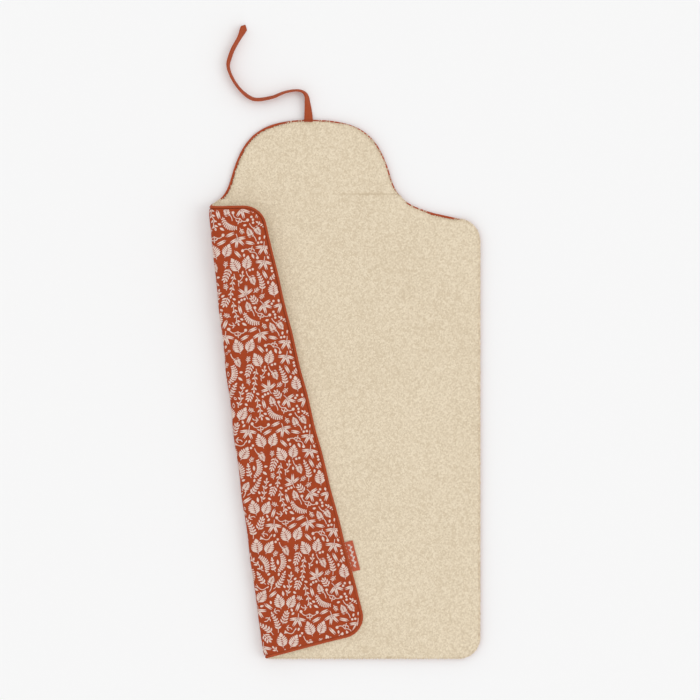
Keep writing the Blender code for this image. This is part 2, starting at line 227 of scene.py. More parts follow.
def bend(u, inner, angle):
    # a straight run, an arc about a centre on the inner side, and a straight run; inner is the
    # height above half thickness, and the cloth near the arc is spread evenly along its own path
    radius, reach = fold["bendRadius"], fold["bendReach"]
    tangent = radius * math.tan(angle / 2)
    own = radius - inner
    arc = angle * own
    whole = 2 * (reach - tangent) + arc
    p = np.where(np.abs(u) < reach, u * whole / (2 * reach), u + np.sign(u) * (whole / 2 - reach))
    before = np.minimum(p + arc / 2, 0)
    turn = np.clip((p + arc / 2) / np.maximum(own, 1e-6), 0, angle)
    after = np.maximum(p - arc / 2, 0)
    a = -tangent + before + own * np.sin(turn) + after * math.cos(angle)
    b = radius - own * np.cos(turn) + after * math.sin(angle)
    return a, b


panelReach = float(((outline - (foldX, 0)) @ acrossFold).max()) - fold["rise"]
room = fold["rise"] - middle - fold["gapAtCorner"]
tilt = math.asin(room / math.hypot(panelReach, middle)) - math.atan2(middle, panelReach)


def layFolded(points):
    # flat (x, y, height) to where it lies: up at the first crease, over at the second one
    xy = points[:, :2] - (foldX, 0)
    u, v = xy @ acrossFold, xy @ alongFold
    inner = points[:, 2] - middle
    across, up = bend(u, inner, math.pi / 2)
    forward, back = bend(u - fold["rise"], inner, math.pi / 2 + tilt)
    over = u > cutAt
    across = np.where(over, -back, across)
    up = middle + np.where(over, fold["rise"] + forward, up)
    beyond = np.clip(u - fold["rise"], 0, None)
    outwards = np.clip(beyond / panelReach, 0, 1)
    # the free edge hangs, the lower end settles, the upper end lifts and the whole fold bows
    clearance = np.maximum(fold["rise"] - 2 * middle - beyond * math.sin(tilt), 0)
    hang = (fold["drape"] * smooth(0.25, -0.15, v) + 0.12) * smooth(0.012, 0.090, beyond)
    up = up - np.where(over, hang * clearance, 0)
    above = up - 2 * middle
    settle = fold["settleLow"] * smooth(0.20, -0.32, v) * smooth(-0.001, 0.006, u)
    up = np.where(over | (above > 0), 2 * middle + above * (1 - settle), up)
    lift = smooth(0.0, fold["topY"], v) * smooth(-0.034, 0.012, u)
    up = up + fold["liftTop"] * lift * (1 - 0.75 * outwards)
    # the bow is a long low hump, widest a little above its middle, with small waves
    t = np.clip((v - bottomY) / (fold["topY"] - bottomY), 0, 1)
    bow = fold["bow"] * np.sin(math.pi * t**1.15)
    bow = bow + fold["wave"] * np.sin(v * 71) * np.sin(math.pi * t)
    across = across + bow * smooth(-fold["bowRun"], 0, u) * (1 - 0.4 * outwards)
    flat = np.array((foldX, 0)) + across[:, None] * acrossFold + v[:, None] * alongFold
    return np.column_stack([flat, up])


def foldCutX(y):
    # where the line through the middle of the strip between the creases crosses each row
    return foldX - (cutAt + y * math.sin(slant)) / math.cos(slant)


def addObject(name, data):
    obj = bpy.data.objects.new(name, data)
    scene.collection.objects.link(obj)
    return obj


def makeMesh(name, points, faces, material, uv, sharp=50):
    mesh = bpy.data.meshes.new(name)
    mesh.from_pydata(points.tolist(), [], faces.tolist() if hasattr(faces, "tolist") else faces)
    corner = np.empty(len(mesh.loops), np.int32)
    mesh.loops.foreach_get("vertex_index", corner)
    layer = mesh.uv_layers.new(name="flat")
    layer.data.foreach_set("uv", uv[corner].astype(np.float32).ravel())
    mesh.polygons.foreach_set("use_smooth", np.ones(len(mesh.polygons), bool))
    if sharp:
        mesh.set_sharp_from_angle(angle=math.radians(sharp))
    mesh.materials.append(material)
    mesh.update()
    return addObject(name, mesh)


def dress(obj, nodes=(), body=None):
    # the CAD nodes that a piece stands for, which are hidden, and the body it rides
    if nodes:
        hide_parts(*nodes)
    if body:
        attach(obj, body)
    return obj


def uvGrid(first, second):
    return np.stack(np.broadcast_arrays(first, second), axis=2).reshape(-1, 2)


def shellPiece(name, upper, lower, shape, uv, material):
    # two grids of points, joined all round
    rows, columns = shape
    index = np.arange(rows * columns).reshape(rows, columns)
    over = np.stack([index[:-1, :-1], index[1:, :-1], index[1:, 1:], index[:-1, 1:]], axis=2)
    under = over[..., ::-1] + index.size
    ring = np.concatenate([index[:-1, 0], index[-1, :-1], index[:0:-1, -1], index[0, :0:-1]])
    after = np.roll(ring, -1)
    wall = np.stack([after, ring, ring + index.size, after + index.size], axis=1)
    faces = np.concatenate([over.reshape(-1, 4), under.reshape(-1, 4), wall])
    points = layFolded(np.concatenate([upper, lower]))
    return makeMesh(name, points, faces, material, np.tile(uv, (2, 1)))


def ringFaces(index):
    # the faces between each ring of points and the next one
    after = np.roll(index, -1, axis=1)
    return np.stack([index[:-1], index[1:], after[1:], after[:-1]], axis=2).reshape(-1, 4)


def tubeFaces(stations, sides):
    # rings joined one after the other, with both ends closed
    index = np.arange(stations * sides).reshape(stations, sides)
    side = np.roll(ringFaces(index)[:, ::-1], 1, axis=1)
    return side.tolist() + [index[0, ::-1].tolist(), index[-1].tolist()]


def curveX(side, y):
    # x of a path at each height, for a path that runs downwards
    order = np.argsort(side[:, 1])
    return np.interp(y, side[order, 1], side[order, 0])


edgeSteps = np.array((0, 0.5, 1, 1.6, 2.3, 3.2, 4.2, 5.4, 6.8, 8.4, 10.2, 12.4, 15, 18)) / 1000
foldSteps = np.concatenate([np.arange(0, 24, 0.8), (24.9, 26.2, 28, 30.4, 33.4)]) / 1000


def gridBetween(y, left, right, leftSteps, rightSteps, count):
    # steps in from both ends, and even steps between them; narrow rows shrink the end steps
    need = leftSteps[-1] + rightSteps[-1]
    shrink = np.minimum(1, (right - left) / (1.5 * need))[:, None]
    fromLeft = left[:, None] + leftSteps * shrink
    fromRight = right[:, None] - rightSteps[::-1] * shrink
    t = np.linspace(0, 1, count + 2)[1:-1]
    between = fromLeft[:, -1:] * (1 - t) + fromRight[:, :1] * t
    x = np.concatenate([fromLeft, between, fromRight], axis=1)
    return x, np.broadcast_to(y[:, None], x.shape)


def rowsOf(side, low, high, extra=()):
    # the heights of a side's points, with closer ones at a crease, and none nearly the same
    y = side[(side[:, 1] > low) & (side[:, 1] < high), 1]
    y = np.sort(np.concatenate([y, (low, high), extra]))[::-1]
    keep = [0]
    for i in range(1, len(y)):
        if y[keep[-1]] - y[i] > 0.00012:
            keep.append(i)
    return y[keep]


def clothGrids(inset):
    # rows of points for the mat, the folded panel and the tab, inside the outline by inset
    edge = outline - edgeNormal * inset[:, None]
    right, left = edge[:len(rightHalf)], np.concatenate([edge[:1], edge[:-len(leftHalf):-1]])
    lowest = edge[len(rightHalf):len(rightHalf) + len(bottomEdge), 1].mean()
    main = rowsOf(right, lowest, tabCut, np.arange(0.240, tabCut, 0.0015))
    fromFold = np.maximum(foldCutX(main), curveX(left, main))
    panel = rowsOf(left, lowest, fold["topY"])
    panel = panel[foldCutX(panel) - curveX(left, panel) > 0.0016]
    tab = rowsOf(right, tabCut, edge[1, 1], np.arange(tabCut, 0.282, 0.0012))
    return {
        "main": gridBetween(main, fromFold, curveX(right, main), foldSteps, edgeSteps, 92),
        "panel": gridBetween(panel, curveX(left, panel), foldCutX(panel), edgeSteps, foldSteps, 26),
        "tab": gridBetween(tab, curveX(left, tab), curveX(right, tab), edgeSteps, edgeSteps, 66),
    }


def newGroup(name, amount, outputs):
    # a node group that takes a place and one number; its wiring, its two inputs and its output node
    group = bpy.data.node_groups.new(name, "ShaderNodeTree")
    group.interface.new_socket("Vector", in_out="INPUT", socket_type="NodeSocketVector")
    socket = group.interface.new_socket(amount[0], in_out="INPUT", socket_type="NodeSocketFloat")
    socket.default_value = amount[1]
    for output in outputs:
        group.interface.new_socket(output, in_out="OUTPUT", socket_type="NodeSocketFloat")
    given = group.nodes.new("NodeGroupInput").outputs
    return Wiring(group), given[0], given[1], group.nodes.new("NodeGroupOutput")


class Wiring:
    # short ways to add nodes to one tree and join them
    def __init__(self, tree):
        self.tree = tree

    def feed(self, socket, value):
        if isinstance(value, bpy.types.NodeSocket):
            self.tree.links.new(value, socket)
        else:
            socket.default_value = value

    def put(self, kind, inputs, **settings):
        node = self.tree.nodes.new("ShaderNode" + kind)
        for key, value in settings.items():
            setattr(node, key, value)
        for key, value in inputs.items():
            self.feed(node.inputs[key], value)
        return node

    def math(self, operation, a, b=0.0, clamp=False):
        node = self.put("Math", {0: a, 1: b}, operation=operation, use_clamp=clamp)
        return node.outputs[0]

    def times(self, a, b):
        return self.math("MULTIPLY", a, b)

    def weighted(self, *parts):
        # each value times its weight, added up
        total = self.times(*parts[0])
        for part in parts[1:]:
            total = self.math("ADD", total, self.times(*part))
        return total

    def ranged(self, value, low, high, outLow=0.0, outHigh=1.0):
        inputs = {"Value": value, "From Min": low, "From Max": high}
        inputs |= {"To Min": outLow, "To Max": outHigh}
        return self.put("MapRange", inputs).outputs["Result"]

    def noise(self, vector, scale, detail=2.0, rough=0.5, output="Fac"):
        inputs = {"Vector": vector, "Scale": scale, "Detail": detail, "Roughness": rough}
        return self.put("TexNoise", inputs).outputs[output]

    def mapped(self, vector, **inputs):
        return self.put("Mapping", {"Vector": vector, **inputs}).outputs[0]

    def wobbled(self, vector, scale, reach):
        # a place pushed a little about by noise
        noise = self.noise(vector, scale, output="Color")
        shift = self.put("VectorMath", {0: noise, 1: (reach,) * 3}, operation="MULTIPLY")
        place = self.put("VectorMath", {0: vector, 1: shift.outputs[0]}, operation="ADD")
        return place.outputs[0]

    def mixColour(self, factor, a, b):
        node = self.put("Mix", {"Factor": factor}, data_type="RGBA")
        for socket, value in ((node.inputs[6], a), (node.inputs[7], b)):
            self.feed(socket, (*value, 1) if isinstance(value, tuple) else value)
        return node.outputs[2]

    def bump(self, height, strength, distance, **normal):
        inputs = {"Height": height, "Strength": strength, "Distance": distance, **normal}
        return self.put("Bump", inputs).outputs["Normal"]


def buildWeave():
    # plain weave: two sets of crossing threads that pass over and under each other
    w, vector, threads, made = newGroup(
        "plainWeave", ("Threads per metre", 2000.0), ("Height", "Slub")
    )
    split = w.put("SeparateXYZ", {0: w.wobbled(vector, 260.0, 0.00035)})
    turn = w.times(threads, math.pi)
    cross = [w.math("SINE", w.times(split.outputs[axis], turn)) for axis in (0, 1)]
    w.feed(made.inputs["Height"], w.math("ABSOLUTE", w.times(*cross)))
    slubs = [
        w.noise(w.mapped(vector, Scale=scale), 1500.0, 1.0)
        for scale in ((1.0, 0.06, 1.0), (0.06, 1.0, 1.0))
    ]
    w.feed(made.inputs["Slub"], w.times(w.math("ADD", *slubs), 0.5))
    return w.tree


def buildPile():
    # terry loops: rounded cells at two sizes, pulled a little out of line
    w, vector, count, made = newGroup(
        "terryPile", ("Loops per metre", 620.0), ("Height", "Tone")
    )
    place = w.wobbled(vector, 900.0, 0.0022)
    cell = {"Vector": w.mapped(place, Scale=(1.0, 0.78, 1.0)), "Scale": count}
    loops = w.put("TexVoronoi", cell, feature="F1").outputs
    fine = w.noise(place, 1700.0, 3.0, 0.6)
    rounded = w.math("SUBTRACT", 1.0, w.times(loops["Distance"], 1.15), clamp=True)
    w.feed(made.inputs["Height"], w.weighted((rounded, 0.75), (fine, 0.35)))
    patch = w.noise(vector, 560.0, 3.0, 0.7)
    single = w.put("SeparateColor", {0: loops["Color"]}).outputs[0]
    w.feed(made.inputs["Tone"], w.weighted((patch, 0.36), (single, 0.64)))
    return w.tree


weaveGroup = buildWeave()
pileGroup = buildPile()


def newMaterial(name, roughness, sheen, sheenRoughness, sheenTint):
    # the material's wiring, the place on the flat cloth, and the shader's inputs
    material = bpy.data.materials.new(name)
    material.use_nodes = True
    shader = material.node_tree.nodes["Principled BSDF"].inputs
    shader["Roughness"].default_value = roughness
    shader["Specular IOR Level"].default_value = 0.25
    shader["Sheen Weight"].default_value = sheen
    shader["Sheen Roughness"].default_value = sheenRoughness
    shader["Sheen Tint"].default_value = (*sheenTint, 1)
    w = Wiring(material.node_tree)
    return material, w, w.put("UVMap", {}, uv_map="flat").outputs["UV"], shader


def wovenMaterial(name, colour, darker, threads, bumpHeight, roughness, turn=0.0, gapShade=0.25):
    # cotton cloth: weave bump, uneven threads, a slow change of tone and painted shade between the
    # threads
    tint = tuple(min(1, c * 1.6 + 0.1) for c in colour)
    material, w, flat, shader = newMaterial(name, roughness, 0.12, 0.5, tint)
    place = w.mapped(flat, Rotation=(0, 0, turn))
    inputs = {"Vector": place, "Threads per metre": threads}
    weave = w.put("Group", inputs, node_tree=weaveGroup).outputs
    tone = w.weighted((weave["Slub"], 0.65), (w.noise(place, 60.0, 3.0), 0.35))
    cloth = w.mixColour(w.ranged(tone, 0.36, 0.64), darker, colour)
    # painted shade: a darker colour in the gaps between the threads
    gaps = w.ranged(weave["Height"], 0.0, 0.5, gapShade, 0.0)
    gapShadeColour = tuple(c * 0.45 for c in darker)
    w.feed(shader["Base Color"], w.mixColour(gaps, cloth, gapShadeColour))
    w.feed(shader["Normal"], w.bump(weave["Height"], 0.5, bumpHeight))
    return material


terryFinish = {
    "light": (0.900, 0.780, 0.590),
    "dark": (0.700, 0.575, 0.405),
    # painted shade: the darker colour mixed in low between the loops and along the tab's crease
    "paintedShade": (0.56, 0.44, 0.29),
    "loopHeight": 0.0011,
    "creaseShadeWidth": 0.0013,
}


def terryMaterial():
    # looped pile: cells for the loops, soft patches, faint ribs along and across the cloth, painted
    # shade
    #  where the loops are low, and a fine line of painted shade in the crease below the tab
    material, w, place, shader = newMaterial("terryCloth", 0.95, 0.25, 0.6, (1.0, 0.93, 0.82))
    inputs = {"Vector": place, "Loops per metre": 620.0}
    pile = w.put("Group", inputs, node_tree=pileGroup).outputs
    rib = w.noise(w.mapped(place, Scale=(1.0, 0.12, 1.0)), 170.0)
    band = w.noise(w.mapped(place, Scale=(0.15, 1.0, 1.0)), 130.0)
    slow = w.noise(place, 9.0)
    tone = w.weighted((pile["Tone"], 0.80), (rib, 0.11), (band, 0.09), (slow, 0.18))
    cloth = w.mixColour(w.ranged(tone, 0.34, 0.82), terryFinish["dark"], terryFinish["light"])
    # painted shade: a dark line along the crease below the tab, stronger from x 0.02 to 0.07
    split = w.put("SeparateXYZ", {0: place}).outputs
    off = w.math("SUBTRACT", split[1], mat["tabCrease"])
    off = w.math("DIVIDE", off, terryFinish["creaseShadeWidth"])
    line = w.math("POWER", math.e, w.times(w.times(off, off), -1.0))
    line = w.times(line, w.ranged(split[0], 0.02, 0.07, 0.0, 0.55))
    cloth = w.mixColour(line, cloth, terryFinish["paintedShade"])
    # painted shade: darker colour where the loops are low, between them
    paintedShade = w.ranged(pile["Height"], 0.15, 0.55, 0.30, 0.0)
    w.feed(shader["Base Color"], w.mixColour(paintedShade, cloth, terryFinish["paintedShade"]))
    ribBump = w.bump(rib, 0.35, 0.0016)
    loopBump = w.bump(pile["Height"], 0.55, terryFinish["loopHeight"], Normal=ribBump)
    w.feed(shader["Normal"], loopBump)
    return material


# colour, darker colour, threads per metre, bump, roughness, turn of the threads, painted shade
# between them
wovenFinishes = {
    "cottonGround": ((0.450, 0.066, 0.014), (0.355, 0.047, 0.010), 2100, 0.00022, 0.85),
    "cottonInk": ((0.860, 0.690, 0.605), (0.780, 0.600, 0.515), 2100, 0.00022, 0.88, 0.0, 0.14),
    "pipingCloth": ((0.500, 0.086, 0.024), (0.390, 0.060, 0.017), 2100, 0.00022, 0.82, math.pi / 4),
    "tieCloth": ((0.480, 0.092, 0.028), (0.370, 0.064, 0.020), 2100, 0.00022, 0.84, 0.02),
    "waddingFibre": ((0.86, 0.85, 0.82), (0.74, 0.73, 0.70), 500, 0.0008, 0.95, 0.5, 0.1),
    "fillerCord": ((0.84, 0.82, 0.76), (0.70, 0.67, 0.60), 1500, 0.0003, 0.9, 0.6),
    "sewingThread": ((0.36, 0.058, 0.020), (0.26, 0.040, 0.014), 5000, 0.0001, 0.6, 0.8),
    "labelWeave": ((0.610, 0.128, 0.060), (0.480, 0.094, 0.044), 2600, 0.00015, 0.7, 0.0, 0.2),
    "labelThread": ((0.80, 0.66, 0.60), (0.66, 0.50, 0.44), 4200, 0.0001, 0.7, 0.7, 0.1),
}
woven = {name: wovenMaterial(name, *values) for name, values in wovenFinishes.items()}
terryCloth = terryMaterial()
print("finishes ready")

seam = {
    "pipingRadius": 0.0020,
    "sewnAt": 0.0043,  # the layers' seam, in from the piping's outer side
    "pinch": 0.0122,  # from the seam to where the mat has its full thickness
    "backingRise": 0.0021,  # how high the backing lies at the seam
    "backingThickness": 0.0005,
    "terryUnder": 0.0048,
    "terryEdge": 0.0051,  # height of the pile's edge where the piping shows
    "hiddenRise": 0.0016,  # and how much more where the pile hides it
    "waddingInset": 0.0096,
    "waddingGap": 0.00025,
    "undulation": 0.00042,
    "pucker": 0.00016,
    "puckerLength": 0.0105,
    "creaseDepth": 0.0010,
    "underTie": 0.0060,  # height of the pile that the tie's sewn end presses down
}


def revealAlong():
    # 0 where the pile hides the piping and 1 where the piping shows
    x, y = outline.T
    shoulder = 0.50 * smooth(0.128, 0.136, x) + 0.4 * smooth(0.158, 0.172, x)
    shoulder = shoulder * (1 - smooth(0.196, 0.216, x)) * (y > 0.2)
    tabLeft = smooth(-0.004, 0.050, -x) * smooth(0.262, 0.270, y)
    tabTop = 0.55 * (1 - smooth(0.030, 0.085, np.abs(x))) * (y > 0.3)
    tabRight = 0.50 * smooth(0.02, 0.09, x) * smooth(0.268, 0.280, y)
    return np.clip(np.maximum.reduce([shoulder, tabLeft, tabTop, tabRight]), 0, 1)


reveal = revealAlong()
terryInset = 0.0002 + 0.0040 * reveal + 0.00035 * ripple(*outline.T, 11, 0.006, 0.022)
terryInset = np.maximum(terryInset, 0.00005)


def alongEdge(values, place):
    # values that belong to the outline's points, read at other places round it
    if values.ndim == 2:
        return np.stack([alongEdge(column, place) for column in values.T], axis=1)
    return np.interp(place, edgeGone, np.append(values, values[0]))


def roundOff(t):
    # a quarter circle: steep at the seam, level where the pinch ends
    return np.sqrt(1 - (1 - np.clip(t, 0, 1)) ** 2)


def softWaves(x, y):
    # long gentle waves, and closer ribs on the lower right
    ribs = np.sin(x * 2 * math.pi / 0.0125 + 1.3 * np.sin(y * 13))
    ribs = ribs * smooth(0.02, 0.16, x) * smooth(0.0, -0.2, y)
    waves = ripple(x, y, 5, 0.045, 0.110) * 0.9 + ripple(x, y, 8, 0.016, 0.034) * 0.45
    return waves + 0.30 * ribs


# heights of the layers' faces, at x, y, the distance in from the edge and the place round it


def backingUnder(x, y, away, place):
    full = roundOff((away - seam["sewnAt"]) / seam["pinch"])
    pucker = np.sin(place * 2 * math.pi / seam["puckerLength"] + 2 * np.sin(place * 31))
    pucker = seam["pucker"] * np.exp(-np.maximum(away - 0.004, 0) / 0.012) * pucker
    soft = 0.00018 * ripple(x, y, 21, 0.03, 0.08) * full
    height = seam["backingRise"] * (1 - full) + pucker * (1 - 0.5 * full)
    return height + np.maximum(soft, -0.0001) + 0.0001


def backingOver(*spot):
    return backingUnder(*spot) + seam["backingThickness"]


def terryOver(x, y, away, place):
    full = roundOff((away - alongEdge(terryInset, place)) / seam["pinch"])
    edge = seam["terryEdge"] + seam["hiddenRise"] * (1 - alongEdge(reveal, place))
    free = edge + (mat["thickness"] - 0.0002 - edge) * full
    free = free + seam["undulation"] * softWaves(x, y) * full
    # a shallow soft valley where the head tab folds
    crease = np.exp(-((y - mat["tabCrease"]) / 0.0026) ** 2)
    free = free - seam["creaseDepth"] * crease * full * smooth(-0.02, 0.06, x)
    pressed = smooth(0.0098, 0.0064, np.abs(x - mat["tieX"]))
    pressed = pressed * smooth(topY - 0.0085, topY - 0.0048, y)
    return free - pressed * np.maximum(free - seam["underTie"], 0)


def terryUnder(x, y, away, place):
    hidden = 1 - alongEdge(reveal, place)
    lift = 0.0013 * hidden * (1 - smooth(0.0037, 0.0054, away))
    return seam["terryUnder"] + 0.0002 * smooth(0.005, 0.016, away) + lift


def waddingOver(*spot):
    return terryUnder(*spot) - seam["waddingGap"]


def waddingUnder(*spot):
    return backingOver(*spot) + seam["waddingGap"]


sewn, wadded = (np.full(len(outline), seam[key]) for key in ("sewnAt", "waddingInset"))
layers = {
    "terry": (terryInset, terryOver, terryUnder, terryCloth, "terry_cloth"),
    "backing": (sewn, backingOver, backingUnder, woven["cottonGround"], "printed_cotton"),
    "wadding": (wadded, waddingOver, waddingUnder, woven["waddingFibre"], "wadding"),
}
replaced = {"main": ("mat", "roll"), "panel": ("panel",), "tab": ("tab",)}


def join(obj, part):
    # the piece's placement is baked into its mesh, the same for every part
    if part == "main":
        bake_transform(obj)
    elif part == "panel":
        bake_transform(obj)
    else:
        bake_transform(obj)


for layer, (inset, over, under, material, slot) in layers.items():
    for part, (x, y) in clothGrids(inset).items():
        flat = np.column_stack([x.ravel(), y.ravel()])
        spot = (x.ravel(), y.ravel(), *nearEdge(flat))
        upper, lower = (np.column_stack([flat, height(*spot)]) for height in (over, under))
        obj = shellPiece(f"{layer}_{part}_cloth", upper, lower, x.shape, flat, material)
        dress(obj, [f"{layer}_{body}" for body in replaced[part]])
        join(obj, part)
    print(layer, "laid")


piping = {
    "step": 0.0019,
    "sides": 16,
    "clothThickness": 0.0004,
    "openAt": 140.0,  # degrees from the outside where the strip leaves the cord
    "flangeReach": 0.0066,
    "flangeHalf": 0.0003,
    "cordStep": 0.0012,
    "cordRadius": 0.00125,
    "cordTwist": 0.0075,
}
pipeLine = outline - edgeNormal * seam["pipingRadius"]


# how far round the outline the tab's cut and the fold's cut are met, going clockwise
fine = np.linspace(0, perimeter, 24001)
at = alongEdge(pipeLine, fine)
tabAt, foldAt = (
    fine[1:][over[1:] * over[:-1] <= 0]
    for over in (at[:, 1] - tabCut, (at - (foldX, 0)) @ acrossFold - cutAt)
)
seamRuns = {
    "main": (tabAt[0], foldAt[0]),
    "panel": (foldAt[0], foldAt[-1]),
    "neck": (foldAt[-1], tabAt[-1]),
    "tab": (tabAt[-1], tabAt[0] + perimeter),
}


def seamPath(run, step):
    start, end = seamRuns[run]
    at = np.linspace(start, end, round((end - start) / step) + 1)
    place = at % perimeter
    return at, alongEdge(pipeLine, place), unit(alongEdge(edgeNormal, place))


def carried(points, normal, out, up):
    # rings: each profile point goes out along the seam's normal and up
    flat = points[:, None] + normal[:, None] * out[..., None]
    return np.concatenate([flat, (middle + up)[..., None]], axis=2)


def hollowFaces(stations, sides):
    # an outer and an inner sleeve, joined at both ends
    index = np.arange(stations * sides).reshape(stations, sides)
    outer = ringFaces(index)
    sleeves = [outer, outer[:, ::-1] + index.size]
    after = np.roll(index, -1, axis=1)
    for a, b in ((index[0], after[0]), (after[-1], index[-1])):
        sleeves.append(np.stack([a, b, b + index.size, a + index.size], axis=1))
    return np.concatenate(sleeves)


def pipingCover(run):
    # a sleeve of radius r(1 + small twisted ripple) and a flat flange towards the mat
    at, points, normal = seamPath(run, piping["step"])
    opening = math.radians(piping["openAt"])
    angle = np.linspace(opening, -opening, piping["sides"])
    turned = at[:, None] * 2 * math.pi
    twist = 0.030 * np.sin(turned / 0.0062 + 2 * angle) + 0.025 * np.sin(turned / 0.041 + angle)
    radius = seam["pipingRadius"] * (1 + twist)
    half, reach = piping["flangeHalf"], piping["flangeReach"]
    neck = seam["pipingRadius"] + piping["clothThickness"] / 2
    ones = np.ones((len(at), 1))
    out = np.concatenate([radius * np.cos(angle), ones * (-neck, -reach, -reach, -neck)], axis=1)
    up = np.concatenate([radius * np.sin(angle), ones * (-half, -half, half, half)], axis=1)
    inside = radius - piping["clothThickness"]
    around = np.concatenate([angle, np.radians((-160, -176, 176, 160))])
    inside = np.concatenate([inside, inside.mean(1, keepdims=True) * np.ones((1, 4))], axis=1)
    rings = np.concatenate([
        carried(points, normal, out, up),
        carried(points, normal, inside * np.cos(around), inside * np.sin(around)),
    ])
    uv = np.tile(uvGrid(at[:, None], np.linspace(0, 0.016, len(around))), (2, 1))
    faces = hollowFaces(len(at), len(around))
    points = layFolded(rings.reshape(-1, 3))
    return makeMesh(f"piping_{run}_cover", points, faces, woven["pipingCloth"], uv)


def fillerCord(run):
    # three plies: r(1 + 0.16 |sin|) turned along the cord
    at, points, normal = seamPath(run, piping["cordStep"])
    angle = np.linspace(0, 2 * math.pi, 13)[:-1]
    lobes = np.abs(np.sin(1.5 * (angle + at[:, None] * 2 * math.pi / piping["cordTwist"])))
    radius = piping["cordRadius"] * (0.84 + 0.16 * lobes)
    rings = carried(points, normal, radius * np.cos(angle), radius * np.sin(angle))
    points, faces = layFolded(rings.reshape(-1, 3)), tubeFaces(*radius.shape)
    uv = uvGrid(at[:, None], angle * 0.001)
    return makeMesh(f"cord_{run}_filler", points, faces, woven["fillerCord"], uv)


pipingStandsFor = {
    "main": ("mat", "roll_bottom"),
    "panel": ("panel",),
    "neck": ("neck", "roll_top"),
    "tab": ("tab",),
}
for run, stands in pipingStandsFor.items():
    for kind, make, slot in (
        ("piping", pipingCover, "piping_cloth"),
        ("cord", fillerCord, "filler_cord"),
    ):
        obj = dress(make(run), [f"{kind}_{name}" for name in stands])
        join(obj, "main" if run == "neck" else run)
print("piping laid")

fringe = {
    "step": 0.00175,
    "length": 0.00150,
    "width": 0.00068,
    "rows": 2,
    "rowGap": 0.0016,
    "height": 0.0059,
    "hiddenRise": 0.0007,  # how much higher the pile is where it hides the piping
    "seed": 31,
}


def beads(centres, ahead, side, lift, lengths, widths):
    # small closed drops: three rings of five points and two poles, carried by their own axes
    angle = np.linspace(0, 2 * math.pi, 6)[:-1]
    along = np.concatenate([[-1.0], np.repeat((-0.62, 0.0, 0.62), 5), [1.0]])
    wide, high = (
        np.concatenate([[0.0], np.outer((0.75, 1.0, 0.72), way(angle)).ravel(), [0.0]])
        for way in (np.cos, np.sin)
    )
    points = centres[:, None] + ahead[:, None] * (along * lengths[:, None])[..., None]
    points = points + side[:, None] * (wide * widths[:, None])[..., None]
    points = points + lift[:, None] * (high * widths[:, None])[..., None]
    k = np.arange(5)
    after = (k + 1) % 5
    one = [np.stack([0 * k, 1 + after, 1 + k], axis=1)]
    one += [np.stack([0 * k + 16, 11 + k, 11 + after], axis=1)]
    for low in (1, 6):
        one += [np.stack([low + k, low + after, low + 5 + after], axis=1)]
        one += [np.stack([low + k, low + 5 + after, low + 5 + k], axis=1)]
    faces = np.concatenate(one) + np.arange(len(centres))[:, None, None] * 17
    return points.reshape(-1, 3), faces.reshape(-1, 3)


def fringeRow(draw, run, row):
    # where the drops of one row stand, and which way they point
    start, end = seamRuns[run]
    count = round((end - start) / fringe["step"])
    at = np.linspace(start, end, count + 2)[1:-1]
    at = at + draw.uniform(-0.4, 0.4, count) * fringe["step"]
    place = np.clip(at, start + 0.0006, end - 0.0006) % perimeter
    shown = alongEdge(reveal, place)
    inset = alongEdge(terryInset, place) - 0.0005 + 0.0008 * (shown > 0.8)
    inset = inset + row * fringe["rowGap"]
    inset = inset + draw.uniform(-0.0005, 0.0006, count)
    partly = smooth(0.22, 0.34, shown) * (1 - smooth(0.60, 0.80, shown)) * (row == 0)
    # where the piping half shows, single drops stand apart over it
    inset = np.maximum(inset, 0.0003) * (1 - partly) + 0.0012 * partly
    height = fringe["height"] + fringe["hiddenRise"] * (1 - shown) + row * 0.0005
    height = height + draw.uniform(-0.0003, 0.0004, count)
    keep = draw.random(count) > 0.62 * partly
    normal = alongEdge(edgeNormal, place)[keep]
    edge = alongEdge(outline, place)[keep] - normal * inset[keep, None]
    swing = draw.normal(0, 0.5, len(edge))[:, None]
    turned = normal * np.cos(swing)
    turned = turned + np.stack([normal[:, 1], -normal[:, 0]], axis=1) * np.sin(swing)
    ahead = np.column_stack([turned, draw.uniform(-0.35, 0.15, len(edge))])
    return np.column_stack([edge, height[keep]]), ahead


def fringePiece(part, runs):
    draw = np.random.default_rng(fringe["seed"] + len(part))
    rows = [fringeRow(draw, run, row) for run in runs for row in range(fringe["rows"])]
    centres, ahead = (np.concatenate(made) for made in zip(*rows))
    ahead = unit(ahead)
    side = unit(np.cross(ahead, (0.0, 0.0, 1.0)))
    lengths = fringe["length"] * draw.uniform(0.7, 1.25, len(centres))
    widths = fringe["width"] * draw.uniform(0.8, 1.25, len(centres))
    points, faces = beads(centres, ahead, side, np.cross(side, ahead), lengths, widths)
    obj = makeMesh(
        f"terry_{part}_edgePile", layFolded(points), faces, terryCloth, points[:, :2], sharp=0
    )
    join(dress(obj), part)


for part, runs in {"main": ("main", "neck"), "panel": ("panel",), "tab": ("tab",)}.items():
    fringePiece(part, runs)
print("edge pile laid")

printed = {
    "repeat": 0.135,
    "cell": 0.00075,
    "margin": 0.00070,
    "seed": 4,
    "seamGap": 0.0047,
    "thickness": 0.00011,
    "longest": 6.8,  # mm; longer stems are cut into several strips
    "from": (0.021, 0.034),
}
stations = np.array((0.0, 0.22, 0.5, 0.78, 1.0))
bulge = np.sin(math.pi * np.clip(stations, 0.02, 0.98) ** 0.85)

# a motif is a list of strips in mm, each with five stations of a left and a right point


def along(start, end, curve, t):
    # points of a line pushed sideways by curve x 4t(1-t), and the headings there
    start, end = np.array(start, float), np.array(end, float)
    step, t = end - start, np.reshape(t, (-1, 1))
    push = np.array((-step[1], step[0])) * 4 * curve
    return start + step * t + push * t * (1 - t), unit(step + push * (1 - 2 * t))


